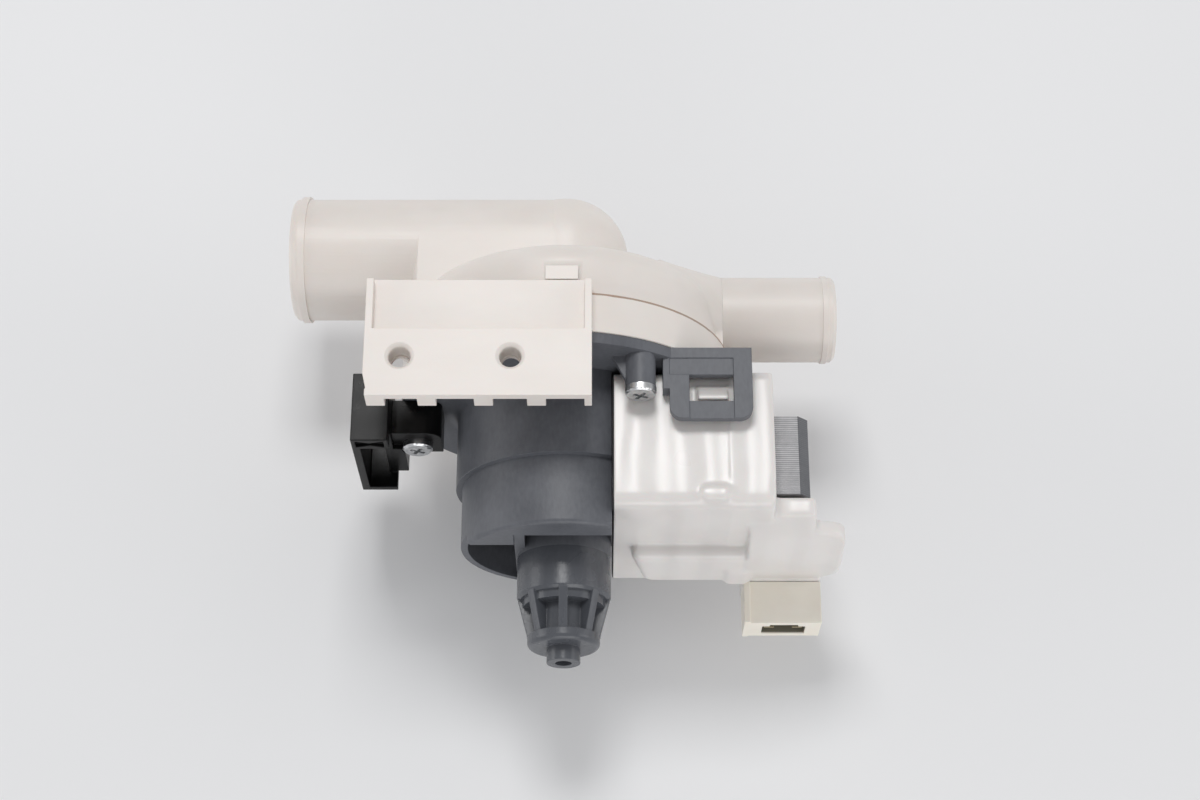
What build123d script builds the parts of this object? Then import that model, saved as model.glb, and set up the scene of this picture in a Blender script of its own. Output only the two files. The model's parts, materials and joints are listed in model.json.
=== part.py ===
from build123d import *
import math
import os

os.makedirs("parts", exist_ok=True)

# Sizes are in millimetres. Places are measured from the rotor axis and from the parting plane,
# where the two mouldings of the pump chamber meet: "back" counts towards the water inlet,
# "front" towards the closed tip of the rotor cup, "rise" upwards from the rotor axis.

# Clearances and the overrun of every cut
overrun = 1.0
seat_gap = 0.1
body_gap = 0.3
running_gap = 0.05

# Pump chamber, rear moulding
chamber_radius = 47.2
drum_side_wall = 3.1
drum_radius = chamber_radius + drum_side_wall
drum_depth = 20.5
drum_wall = 2.8
drum_edge = 8.5
saddle_reach = 51.5
inlet_radius = 20.0
inlet_bore = 17.4
inlet_reach = 89.4
inlet_back = 38.2
elbow_radius = 20.4
inlet_bead = 20.9
inlet_bead_width = 2.3
inlet_bead_setback = 2.7
outlet_radius = 13.8
outlet_bore = 11.3
outlet_reach = 87.0
outlet_back = 14.1
outlet_rise = 4.0
outlet_bead = 14.25
outlet_bead_width = 1.9
outlet_bead_setback = 2.5
outlet_start = 36.0
neck_start = 22.0
neck_start_back = 10.0
neck_start_rise = 12.0
neck_start_half = 32.0
neck_crown = 30.0
neck_crown_back = 13.4
neck_crown_rise = 11.0
neck_crown_half = 27.0
outlet_box_half = 10.5
outlet_box_proud = 0.1
outlet_box_reach = drum_radius + outlet_box_proud
mouth_round = 1.0
brace_left = 5.3
brace_right = 4.5
brace_back = 8.1

# Pump chamber, front ring with the bracket
ring_wall = 5.4
rim_radius = chamber_radius + ring_wall
ring_depth = 13.0
lip_width = 6.4
lip_radius = chamber_radius - lip_width
lip_back = 3.5
bracket_left = 59.0
bracket_right = 8.8
bracket_rise = 5.4
bracket_top = rim_radius + bracket_rise
bracket_back = 1.8
floor_back = 3.3
bracket_front = 36.8
plate_back = 14.9
plate_thickness = 3.0
floor_drop = 4.0
floor_thickness = 1.7
bracket_wall = 2.2
corner_cut_x = 1.6
corner_cut_y = 7.2
hole_spacing = 32.9
hole_left = 15.4
hole_front = 24.0
hole_radius = 3.3
hole_mouth_radius = 4.3
hole_end_radius = 2.85
hole_end_length = 1.5
hole_boss_radius = 5.6
hole_depth = 8.2
tab_width = 5.6
tab_drop = 8.0
tab_lefts = (58.2, 42.9, 26.1, 10.4)
web_thickness = 2.4
web_inset = 6.6
web_left = rim_radius - web_inset
web_drop = 27.6
web_rise = rim_radius - web_drop
web_lap = 3.6
ring_web_radius = rim_radius - web_lap

# Grey motor mount with the rotor cup
mount_setback = 0.6
mount_radius = rim_radius - mount_setback
mount_thickness = 3.5
spigot_length = 5.5
spigot_wall = 2.4
bolt_setback = 5.6
bolt_circle_radius = rim_radius - bolt_setback
bolt_angles = (60, 180, 300)
clip_angle = 180
boss_radius = 4.6
boss_front = 26.8
screw_clearance_radius = 2.3
gusset_length = 4.0
gusset_thickness = 2.4
shroud_radius = 34.3
shroud_step = 44.8
shroud_front_radius = 32.3
shroud_front = 67.0
shroud_low_front = 64.0
shroud_wall = 2.2
shroud_edge = 1.4
shroud_right = 14.8
shroud_low_rise = 12.6
shroud_foot = 5.0
front_wall_rise = 21.0
front_wall_low_left = 15.2
cup_radius = 14.6
cup_bore = 12.4
cup_front = 81.0
cup_edge = 1.0
core_radius = 8.7
core_bore = 6.4
collar_radius = 12.7
collar_front = 83.4
cap_radius = 11.2
cap_back = 92.6
cap_front = 96.2
cap_edge = 1.6
nose_radius = 5.2
nose_reach = 100.9
nose_hole_radius = 2.5
nose_hole_depth = 4.6
rib_count = 8
rib_width = 2.7
rib_start_radius = 14.2
strut_left = 15.2
strut_right = 11.9
strut_thickness = 2.2

# Snap tab of the mount, with its window
tab_left = 32.3
tab_right = 57.5
tab_rise = 40.4
tab_thickness = 2.8
tab_front = 36.5
tab_round = 4.0
tab_step = 0.4
window_left = 38.3
window_right = 51.8
window_back = 22.0
window_front = 30.6
rail_width = 2.0
rail_drop = 2.6
ear_left = 28.0
ear_drop = 14.0

# Screws that hold the mount to the ring
screw_radius = 2.0
screw_head_radius = 4.8
screw_head_height = 2.6
screw_head_edge = 0.8
screw_tip_front = 4.6
recess_width = 1.2
recess_length = 5.0
recess_depth = 1.5

# Black side clip under one screw
clip_gap = 2.8
clip_width = 11.6
clip_right = mount_radius + clip_gap
clip_left = clip_right + clip_width
clip_back = 12.3
clip_front = 35.2
clip_top = 20.0
clip_head_low = 13.0
clip_bottom = 21.7
clip_wall = 2.6
clip_block_front = 28.0
clip_block_lap = 7.8
clip_block_right = bolt_circle_radius - clip_block_lap
clip_block_top = 8.6
clip_block_low = 6.6
clip_block_round = 5.0
clip_foot_front = 29.8
clip_foot_width = 6.2
clip_foot_low = 18.4
clip_side_front = 29.8

# Seals
seal_section = 1.9
seal_setback = 2.6
seal_radius = lip_radius + seal_setback
groove_half = 1.0

# Impeller, its lost-motion hub and the rotor
impeller_gap = 3.8
impeller_radius = lip_radius - impeller_gap
impeller_plate = 2.0
impeller_front = 9.5
blade_count = 6
blade_thickness = 1.8
blade_back = 9.0
blade_tip_setback = 1.0
blade_tip_radius = impeller_radius - blade_tip_setback
hub_radius = 8.6
hub_front = 12.0
hub_back = 11.0
hub_edge = 3.0
hub_cavity_radius = 6.6
hub_cavity_back = 3.0
hub_cap_thickness = 1.2
stop_angle = 40
stop_inner_radius = 3.9
dog_angle = 40
dog_core_radius = 3.4
shaft_radius = 2.0
shaft_front = 90.4
shaft_back = 8.0
magnet_radius = 11.4
magnet_bore = 5.2
magnet_back = 27.3
magnet_front = 55.3
sleeve_flange = 1.2
sleeve_flange_radius = 9.8
sleeve_tail_radius = 3.8
washer_radius = 4.2
washer_thickness = 0.8
bearing_radius = 4.4
back_bearing_start = 17.6
back_bearing_end = 25.0
front_bearing_start = 81.6
front_bearing_end = 89.8
lip_seal_back = 13.6
lip_seal_front = 17.2
lip_seal_wall = 1.4

# Stator
stack_back = 28.3
stack_front = 54.3
leg_outer = 23.0
leg_inner = 10.0
core_left = 18.0
core_right = 75.7
yoke_width = 11.2
yoke_chamfer = 3.2
stator_bore = 15.4
core_corner = 6.0

# Coils
bobbin_left = 18.5
bobbin_right = 61.0
bobbin_wall = 0.9
bobbin_flange = 1.4
winding_thickness = 5.8
winding_depth = 3.0

# White coil housing with its wire duct and terminal block
housing_left = 15.0
housing_right = 64.2
housing_back = 18.0
housing_front = 62.3
housing_wall = 2.2
housing_edge = 4.0
step_reach = 50.6
step_height = 0.4
duct_left = 20.6
duct_slant = 4.4
duct_right = 58.5
duct_top = 1.5
duct_low = 21.0
duct_height = 3.3
duct_round = 2.5
block_left = 57.0
block_right = 87.0
block_back = 55.2
block_top_front = 61.8
block_bulge_front = 67.8
block_low_front = 65.0
block_top = 22.0
block_low = 23.0
block_round = 6.0
wing_left = 77.4
wing_back = 59.8
wing_top = 15.8
foot_right = 82.4
foot_front = 66.2
foot_low = 38.0
ridge_left = 64.5
ridge_right = 77.0
ridge_height = 1.6
bar_left = 41.5
bar_right = 50.6
bar_front = 61.0
bar_back = 56.2
bar_height = 1.2
tooth_left = 41.0
tooth_right = 50.2
tooth_back = 23.4
tooth_front = 29.8
tooth_height = 4.8

# Beige connector and its pins
connector_left = 58.4
connector_right = 82.2
connector_front = 80.2
connector_top = 23.4
connector_low = 36.8
connector_wall = 2.5
connector_flange = 2.0
flange_proud = 0.8
socket_depth = 8.0
key_width = 9.0
key_height = 1.4
pin_width = 3.2
pin_thickness = 0.8
pin_spacing = 9.0
pin_length = 7.0
fuse_radius = 1.2
fuse_length = 12.0

# Outer sizes of the coils, and the housing that closes round them
leg_height = leg_outer - leg_inner
leg_rise = (leg_outer + leg_inner) / 2
stack_depth = stack_front - stack_back
stack_mid = (stack_back + stack_front) / 2
tube_half_height = leg_height / 2 + seat_gap + bobbin_wall
tube_half_depth = stack_depth / 2 + seat_gap + bobbin_wall
coil_half = leg_rise + tube_half_height + winding_thickness
housing_half = coil_half + 2 * fuse_radius + 2 * seat_gap + housing_wall

# The frame: the origin is under the middle of the whole part, at the level of its lowest point
axis_x = (inlet_reach - outlet_reach) / 2
plane_y = (nose_reach - inlet_back - inlet_bead) / 2
axis_z = rim_radius


def spot(x, back, rise):
    return (axis_x + x, plane_y + back, axis_z + rise)


def front_plane(front, x=0, rise=0):
    """Plane across the rotor axis that looks to the front: x to the right, y up."""
    return Plane(origin=spot(x, -front, rise), x_dir=(1, 0, 0), z_dir=(0, -1, 0))


def level_plane(rise, x=0, back=0):
    """Level plane: x to the right, y to the back."""
    return Plane(origin=spot(x, back, rise), x_dir=(1, 0, 0), z_dir=(0, 0, 1))


def right_plane(x, back=0, rise=0):
    """Upright plane that looks to the right: x to the back, y up."""
    return Plane(origin=spot(x, back, rise), x_dir=(0, 1, 0), z_dir=(1, 0, 0))


def radial_plane(angle):
    """Plane through the rotor axis at an angle from the right: x outwards, y to the back."""
    across, up = polar(1, angle)
    return Plane(origin=spot(0, 0, 0), x_dir=(across, 0, up), z_dir=(-up, 0, across))


def polar(radius, angle):
    return (radius * math.cos(math.radians(angle)), radius * math.sin(math.radians(angle)))


def bolt_spot(angle):
    return polar(bolt_circle_radius, angle)


rotor_axis = Axis(spot(0, 0, 0), (0, 1, 0))


def save(part, name):
    part.label = name
    export_step(part, f"parts/{name}.step")


# Rear moulding of the chamber: round drum with the block that the outlet tube grows from
floor_rise = bracket_top - floor_drop
chamber_depth = drum_depth - drum_wall
chamber_edge = drum_edge - drum_wall
with BuildPart() as volute_housing:
    with BuildSketch(front_plane(0)):
        Circle(drum_radius)
    extrude(amount=-drum_depth)
    fillet(volute_housing.edges().group_by(Axis.Y)[-1], radius=drum_edge)
    with BuildSketch(level_plane(outlet_rise, back=outlet_back)):
        with BuildLine():
            CenterArc((outlet_start, 0), outlet_radius, 90, 90)
            Polyline(
                (outlet_start, outlet_radius), (outlet_box_reach, outlet_radius),
                (outlet_box_reach, 0), (outlet_start - outlet_radius, 0))
        make_face()
    revolve(axis=Axis(spot(0, outlet_back, outlet_rise), (1, 0, 0)))
    with BuildSketch(right_plane(outlet_start, rise=outlet_rise)):
        with Locations((outlet_back / 2, 0)):
            Rectangle(outlet_back, 2 * outlet_box_half)
    extrude(amount=outlet_box_reach - outlet_start)
    # Neck that fairs the drum into the outlet: two ovals, then the tube's circle
    for place, middle, rise, deep, high in (
            (neck_start, neck_start_back, neck_start_rise, neck_start_back - body_gap, neck_start_half),
            (neck_crown, neck_crown_back, neck_crown_rise, neck_crown_back - body_gap, neck_crown_half),
            (outlet_box_reach, outlet_back, outlet_rise, outlet_radius, outlet_radius)):
        with BuildSketch(right_plane(place, back=middle, rise=rise)):
            Ellipse(deep, high)
    loft(ruled=True)
    # Brace under the back edge of the bracket
    with BuildSketch(level_plane(floor_rise)):
        with Locations(((brace_right - brace_left) / 2, (floor_back + body_gap + brace_back) / 2)):
            Rectangle(brace_left + brace_right, brace_back - floor_back - body_gap)
    extrude(amount=drum_radius - drum_wall - floor_rise)
    # Round chamber, and the ways in and out
    with BuildSketch(level_plane(0)):
        with BuildLine():
            Polyline(
                (chamber_radius - chamber_edge, chamber_depth), (0, chamber_depth), (0, 0),
                (chamber_radius, 0), (chamber_radius, chamber_depth - chamber_edge))
            CenterArc((chamber_radius - chamber_edge, chamber_depth - chamber_edge), chamber_edge, 0, 90)
        make_face()
    revolve(axis=rotor_axis, mode=Mode.SUBTRACT)
    with BuildSketch(front_plane(0)):
        Circle(inlet_bore)
    extrude(amount=-drum_depth - overrun, mode=Mode.SUBTRACT)
    with BuildSketch(level_plane(outlet_rise, back=outlet_back)):
        with BuildLine():
            CenterArc((outlet_start, 0), outlet_bore, 90, 90)
            Polyline(
                (outlet_start, outlet_bore), (outlet_box_reach + overrun, outlet_bore),
                (outlet_box_reach + overrun, 0), (outlet_start - outlet_bore, 0))
        make_face()
    revolve(axis=Axis(spot(0, outlet_back, outlet_rise), (1, 0, 0)), mode=Mode.SUBTRACT)
save(volute_housing.part, "volute_housing")

# Inlet elbow behind the drum, with the saddle under its tube and the bead at its mouth
with BuildPart() as inlet_elbow:
    with BuildSketch(front_plane(-drum_depth)):
        Circle(saddle_reach)
        with Locations((-saddle_reach / 2, 0)):
            Rectangle(saddle_reach, 2 * inlet_radius, mode=Mode.INTERSECT)
    extrude(amount=drum_depth - inlet_back)
    with BuildSketch(front_plane(-drum_depth)):
        Circle(elbow_radius)
    extrude(amount=drum_depth - inlet_back)
    with BuildSketch(level_plane(0)):
        with BuildLine():
            CenterArc((0, inlet_back), elbow_radius, 0, 90)
            Polyline((0, inlet_back + elbow_radius), (0, inlet_back), (elbow_radius, inlet_back))
        make_face()
    revolve(axis=Axis(spot(0, inlet_back, 0), (0, 1, 0)))
    # Tube: profile in the level plane, turned about the tube's own axis
    bead_end = inlet_reach - inlet_bead_setback
    bead_start = bead_end - inlet_bead_width
    with BuildSketch(level_plane(0, back=inlet_back)):
        with BuildLine():
            Polyline(
                (0, 0), (0, inlet_radius), (-bead_start, inlet_radius), (-bead_start, inlet_bead),
                (-bead_end, inlet_bead), (-bead_end, inlet_radius),
                (mouth_round - inlet_reach, inlet_radius),
                (-inlet_reach, inlet_radius - mouth_round), (-inlet_reach, 0), close=True)
        make_face()
    revolve(axis=Axis(spot(0, inlet_back, 0), (1, 0, 0)))
    # Room for the drum in front of its back face
    with BuildSketch(front_plane(-drum_depth)):
        Circle(drum_radius)
    extrude(amount=drum_depth, mode=Mode.SUBTRACT)
    # Bore: down the tube, round the elbow and into the drum
    with BuildSketch(front_plane(-drum_depth + overrun)):
        Circle(inlet_bore)
    extrude(amount=drum_depth - overrun - inlet_back, mode=Mode.SUBTRACT)
    with BuildSketch(level_plane(0)):
        with BuildLine():
            CenterArc((0, inlet_back), inlet_bore, -90, 180)
            Line((0, inlet_back + inlet_bore), (0, inlet_back - inlet_bore))
        make_face()
    revolve(axis=Axis(spot(0, inlet_back, 0), (0, 1, 0)), mode=Mode.SUBTRACT)
    with BuildSketch(right_plane(0, back=inlet_back)):
        Circle(inlet_bore)
    extrude(amount=-inlet_reach - overrun, mode=Mode.SUBTRACT)
save(inlet_elbow.part, "inlet_elbow")

# Outlet tube with its bead, standing on the block of the drum
with BuildPart() as outlet_tube:
    bead_end = outlet_reach - outlet_bead_setback
    bead_start = bead_end - outlet_bead_width
    with BuildSketch(level_plane(outlet_rise, back=outlet_back)):
        with BuildLine():
            Polyline(
                (outlet_box_reach, outlet_bore), (outlet_box_reach, outlet_radius),
                (bead_start, outlet_radius), (bead_start, outlet_bead), (bead_end, outlet_bead),
                (bead_end, outlet_radius), (outlet_reach - mouth_round, outlet_radius),
                (outlet_reach, outlet_radius - mouth_round), (outlet_reach, outlet_bore), close=True)
        make_face()
    revolve(axis=Axis(spot(0, outlet_back, outlet_rise), (1, 0, 0)))
save(outlet_tube.part, "outlet_tube")

# Front ring of the chamber, with the ribbed bracket
bracket_width = bracket_left + bracket_right
bracket_mid = (bracket_right - bracket_left) / 2
hole_mid = -hole_left - hole_spacing / 2
rib_back = plate_back + bracket_wall
rib_depth = bracket_front - rib_back
with BuildPart() as bracket_ring:
    with BuildSketch(level_plane(0)):
        with BuildLine():
            Polyline(
                (chamber_radius, 0), (rim_radius, 0), (rim_radius, -ring_depth),
                (lip_radius, -ring_depth), (lip_radius, -lip_back), (chamber_radius, -lip_back),
                close=True)
        make_face()
    revolve(axis=rotor_axis)
    # Top plate with its cut corner
    with BuildSketch(level_plane(bracket_top)):
        with BuildLine():
            Polyline(
                (-bracket_left, -plate_back), (bracket_right, -plate_back),
                (bracket_right, -bracket_front), (-bracket_left + corner_cut_x, -bracket_front),
                (-bracket_left, -bracket_front + corner_cut_y), close=True)
        make_face()
    extrude(amount=-plate_thickness)
    # Recessed floor, its two side walls and the riser between floor and plate
    with BuildSketch(level_plane(floor_rise)):
        with Locations((bracket_mid, (floor_back - plate_back - bracket_wall) / 2)):
            Rectangle(bracket_width, floor_back + plate_back + bracket_wall)
    extrude(amount=-floor_thickness)
    with BuildSketch(level_plane(bracket_top)):
        for edge_x in (-bracket_left + bracket_wall / 2, bracket_right - bracket_wall / 2):
            with Locations((edge_x, (bracket_back - bracket_front) / 2 + corner_cut_y / 2)):
                Rectangle(bracket_wall, bracket_back + bracket_front - corner_cut_y)
        with Locations((bracket_mid, -plate_back - bracket_wall / 2)):
            Rectangle(bracket_width, bracket_wall)
    extrude(amount=-floor_drop - floor_thickness)
    # Ribs under the plate, each with a wide foot at the front edge
    with BuildSketch(level_plane(bracket_top)):
        for left in tab_lefts:
            with Locations((-left + tab_width / 2, -bracket_front + bracket_wall / 2)):
                Rectangle(tab_width, bracket_wall)
            with Locations((-left + tab_width / 2, -rib_back - rib_depth / 2)):
                Rectangle(bracket_wall, rib_depth)
        with Locations((bracket_right - bracket_wall / 2, -rib_back - rib_depth / 2)):
            Rectangle(bracket_wall, rib_depth)
    extrude(amount=-tab_drop)
    with BuildSketch(level_plane(bracket_top)):
        with Locations((hole_mid, -hole_front)):
            with GridLocations(hole_spacing, 0, 2, 1):
                Circle(hole_boss_radius)
    extrude(amount=-hole_depth)
    # Webs down to the ring: one across, and one in line with each rib
    with BuildSketch(front_plane(ring_depth)):
        with BuildLine():
            Polyline(
                (-bracket_left, floor_rise), (bracket_right, floor_rise), (bracket_right, web_rise),
                (-web_left, web_rise), (-bracket_left, floor_rise - tab_drop), close=True)
        make_face()
        Circle(ring_web_radius, mode=Mode.SUBTRACT)
    extrude(amount=-web_thickness)
    with BuildSketch(front_plane(ring_depth)):
        for left in tab_lefts[1:]:
            with Locations((-left + tab_width / 2, (floor_rise + web_rise) / 2)):
                Rectangle(bracket_wall, floor_rise - web_rise)
        with Locations((bracket_right - bracket_wall / 2, (floor_rise + web_rise) / 2)):
            Rectangle(bracket_wall, floor_rise - web_rise)
        Circle(ring_web_radius, mode=Mode.SUBTRACT)
    extrude(amount=-ring_depth)
    # Bracket holes: chamfered mouth, plain bore and a tighter end
    for side in (-1, 1):
        with BuildSketch(front_plane(hole_front, hole_mid + side * hole_spacing / 2, bracket_top)):
            with BuildLine():
                Polyline(
                    (0, overrun), (hole_mouth_radius, overrun), (hole_mouth_radius, 0),
                    (hole_radius, hole_radius - hole_mouth_radius),
                    (hole_radius, hole_end_length - hole_depth),
                    (hole_end_radius, hole_end_length - hole_depth),
                    (hole_end_radius, -hole_depth - overrun), (0, -hole_depth - overrun), close=True)
            make_face()
        hole_axis = Axis(spot(hole_mid + side * hole_spacing / 2, -hole_front, bracket_top), (0, 0, 1))
        revolve(axis=hole_axis, mode=Mode.SUBTRACT)
    # Pilot holes for the mount screws
    with BuildSketch(front_plane(ring_depth)):
        with PolarLocations(bolt_circle_radius, len(bolt_angles), start_angle=bolt_angles[0]):
            Circle(screw_radius + seat_gap)
    extrude(amount=-ring_depth + lip_back - overrun, mode=Mode.SUBTRACT)
save(bracket_ring.part, "bracket_ring")

# Grey moulding: plate, shroud over the stator poles, snap tab and closed rotor cup
plate_front = ring_depth + mount_thickness
spigot_radius = lip_radius - seat_gap
shroud_bore = shroud_front_radius - shroud_wall
cup_floor = cap_back - cup_radius + cup_bore + cap_edge / 2
with BuildPart() as motor_mount:
    # Upper front of the shroud first, while its rim is easy to round
    with BuildSketch(front_plane(shroud_low_front)):
        Circle(shroud_front_radius)
        with Locations((0, shroud_low_rise)):
            Rectangle(2 * shroud_radius, shroud_radius, align=(Align.CENTER, Align.MIN), mode=Mode.INTERSECT)
        with Locations((shroud_right, 0)):
            Rectangle(shroud_radius, 2 * shroud_radius, align=(Align.MIN, Align.CENTER), mode=Mode.SUBTRACT)
    extrude(amount=shroud_front - shroud_low_front)
    rim = motor_mount.edges().filter_by(GeomType.CIRCLE).group_by(Axis.Y)[0]
    fillet(rim, radius=shroud_edge)
    with BuildSketch(front_plane(shroud_low_front)):
        Circle(shroud_bore)
    extrude(amount=shroud_front - shroud_low_front - shroud_wall, mode=Mode.SUBTRACT)
    with BuildSketch(front_plane(shroud_low_front)):
        with Locations((-front_wall_low_left, 0)):
            Rectangle(shroud_radius + front_wall_low_left, front_wall_rise, align=(Align.MIN, Align.MIN))
    extrude(amount=shroud_front - shroud_low_front, mode=Mode.SUBTRACT)
    # Shroud round the poles, open on the side of the coils
    for outer, inner, start, end in (
            (shroud_front_radius, shroud_bore, shroud_step, shroud_low_front),
            (shroud_radius, shroud_radius - shroud_wall, plate_front, shroud_step),
            (shroud_radius, shroud_bore, shroud_step - shroud_wall, shroud_step)):
        with BuildSketch(front_plane(start)):
            Circle(outer)
            Circle(inner, mode=Mode.SUBTRACT)
            with Locations((shroud_right, 0)):
                Rectangle(shroud_radius, 2 * shroud_radius, align=(Align.MIN, Align.CENTER),
                          mode=Mode.SUBTRACT)
        extrude(amount=end - start)
    # Flared foot of the shroud on its left half
    with BuildSketch(radial_plane(-90)):
        with BuildLine():
            CenterArc((shroud_radius + shroud_foot, -plate_front - shroud_foot), shroud_foot, 90, 90)
            Polyline(
                (shroud_radius, -plate_front - shroud_foot),
                (shroud_radius - shroud_wall, -plate_front - shroud_foot),
                (shroud_radius - shroud_wall, -plate_front),
                (shroud_radius + shroud_foot, -plate_front))
        make_face()
    revolve(axis=rotor_axis, revolution_arc=180)
    # Strut across the open lower front
    strut_width = strut_left - strut_right
    with BuildSketch(front_plane(shroud_low_front - strut_thickness)):
        with Locations((-strut_right - strut_width / 2, (front_wall_rise - shroud_bore) / 2)):
            Rectangle(strut_width, front_wall_rise + shroud_bore)
        Circle(shroud_front_radius, mode=Mode.INTERSECT)
    extrude(amount=2 * strut_thickness)
    # Plate with its locating spigot
    with BuildSketch(level_plane(0)):
        with BuildLine():
            Polyline(
                (cup_bore, -plate_front), (cup_bore, -ring_depth),
                (spigot_radius - spigot_wall, -ring_depth),
                (spigot_radius - spigot_wall, spigot_length - ring_depth),
                (spigot_radius, spigot_length - ring_depth), (spigot_radius, -ring_depth),
                (mount_radius, -ring_depth), (mount_radius, -plate_front), close=True)
        make_face()
    revolve(axis=rotor_axis)
    # Rotor cup, its ribbed end and the nose
    with BuildSketch(level_plane(0)):
        with BuildLine():
            Polyline(
                (cap_radius, cap_edge - cap_front), (cap_radius, -cap_back), (core_radius, -cap_back),
                (core_radius, -collar_front), (collar_radius, -collar_front),
                (collar_radius, -cup_front), (cup_radius - cup_edge, -cup_front),
                (cup_radius, cup_edge - cup_front), (cup_radius, -ring_depth), (cup_bore, -ring_depth),
                (cup_bore, cup_radius - cup_bore - cup_front),
                (core_bore, cup_radius - cup_bore - cup_front), (core_bore, -cup_floor),
                (0, -cup_floor), (0, nose_hole_depth - nose_reach),
                (nose_hole_radius, nose_hole_depth - nose_reach), (nose_hole_radius, -nose_reach),
                (nose_radius, -nose_reach), (nose_radius, -cap_front), (cap_radius - cap_edge, -cap_front))
            CenterArc((cap_radius - cap_edge, cap_edge - cap_front), cap_edge, -90, 90)
        make_face()
    revolve(axis=rotor_axis)
    for index in range(rib_count):
        with BuildSketch(radial_plane(index * 360 / rib_count)):
            with BuildLine():
                Polyline(
                    (core_bore + cup_edge, -cup_front + cup_edge), (rib_start_radius, -cup_front + cup_edge),
                    (rib_start_radius, -cup_front), (cap_radius, -cap_back),
                    (core_bore + cup_edge, -cap_back), close=True)
            make_face()
        extrude(amount=rib_width / 2, both=True)
    # Screw bosses and the gussets beside the upper one
    with BuildSketch(front_plane(plate_front)):
        for angle in bolt_angles:
            if angle != clip_angle:
                with Locations(bolt_spot(angle)):
                    Circle(boss_radius)
    extrude(amount=boss_front - plate_front)
    boss_x, boss_rise = bolt_spot(bolt_angles[0])
    with BuildSketch(level_plane(boss_rise)):
        with BuildLine():
            Polyline(
                (boss_x - boss_radius / 2, -plate_front),
                (boss_x - boss_radius / 2, -boss_front + boss_radius / 2),
                (boss_x - boss_radius, -boss_front + boss_radius / 2),
                (boss_x - boss_radius - gusset_length, -plate_front), close=True)
        make_face()
    extrude(amount=gusset_thickness / 2, both=True)
    # Snap tab on an ear of the plate
    with BuildSketch(front_plane(ring_depth)):
        with Locations((ear_left, tab_rise)):
            Rectangle(tab_right - ear_left, ear_drop, align=(Align.MIN, Align.MAX))
    extrude(amount=mount_thickness)
    with BuildSketch(level_plane(tab_rise)):
        with Locations(((tab_left + tab_right) / 2, -(ring_depth + tab_front) / 2)):
            Rectangle(tab_right - tab_left, tab_front - ring_depth)
        fillet(vertices().group_by(Axis.Y)[0], radius=tab_round)
        with Locations(((window_left + window_right) / 2, -(window_back + window_front) / 2)):
            Rectangle(window_right - window_left, window_front - window_back, mode=Mode.SUBTRACT)
    extrude(amount=-tab_thickness)
    with BuildSketch(level_plane(tab_rise)):
        with Locations((window_left, -window_front)):
            Rectangle(window_right - window_left, tab_front - window_front + overrun,
                      align=(Align.MIN, Align.MAX))
        with Locations((tab_left - overrun, -window_back)):
            Rectangle(window_right - tab_left + overrun, window_back - plate_front,
                      align=(Align.MIN, Align.MIN))
    extrude(amount=-tab_step, mode=Mode.SUBTRACT)
    with BuildSketch(level_plane(tab_rise)):
        with Locations((tab_left, -plate_front)):
            Rectangle(rail_width, boss_front - plate_front, align=(Align.MAX, Align.MAX))
    extrude(amount=-tab_thickness - rail_drop)
    # Seal groove and screw holes
    with BuildSketch(front_plane(ring_depth)):
        Circle(seal_radius + groove_half)
        Circle(seal_radius - groove_half, mode=Mode.SUBTRACT)
    extrude(amount=seal_section, mode=Mode.SUBTRACT)
    with BuildSketch(front_plane(ring_depth - overrun)):
        for angle in bolt_angles:
            with Locations(bolt_spot(angle)):
                Circle(screw_clearance_radius)
    extrude(amount=boss_front - ring_depth + 2 * overrun, mode=Mode.SUBTRACT)
save(motor_mount.part, "motor_mount")

# Three screws, one of them through the side clip as well
with BuildPart() as mount_screws:
    for angle in bolt_angles:
        seat = clip_block_front if angle == clip_angle else boss_front
        screw_x, screw_rise = bolt_spot(angle)
        with BuildSketch(level_plane(screw_rise, x=screw_x)):
            with BuildLine():
                Polyline(
                    (0, -screw_tip_front), (screw_radius - screw_head_edge, -screw_tip_front),
                    (screw_radius, -screw_tip_front - screw_head_edge), (screw_radius, -seat),
                    (screw_head_radius, -seat),
                    (screw_head_radius, -seat - screw_head_height + screw_head_edge),
                    (screw_head_radius - screw_head_edge, -seat - screw_head_height),
                    (0, -seat - screw_head_height), close=True)
            make_face()
        revolve(axis=Axis(spot(screw_x, 0, screw_rise), (0, 1, 0)))
        with BuildSketch(front_plane(seat + screw_head_height, screw_x, screw_rise)):
            Rectangle(recess_length, recess_width, rotation=bolt_angles[0])
            Rectangle(recess_width, recess_length, rotation=bolt_angles[0])
        extrude(amount=-recess_depth, mode=Mode.SUBTRACT)
save(mount_screws.part, "mount_screws")

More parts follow.
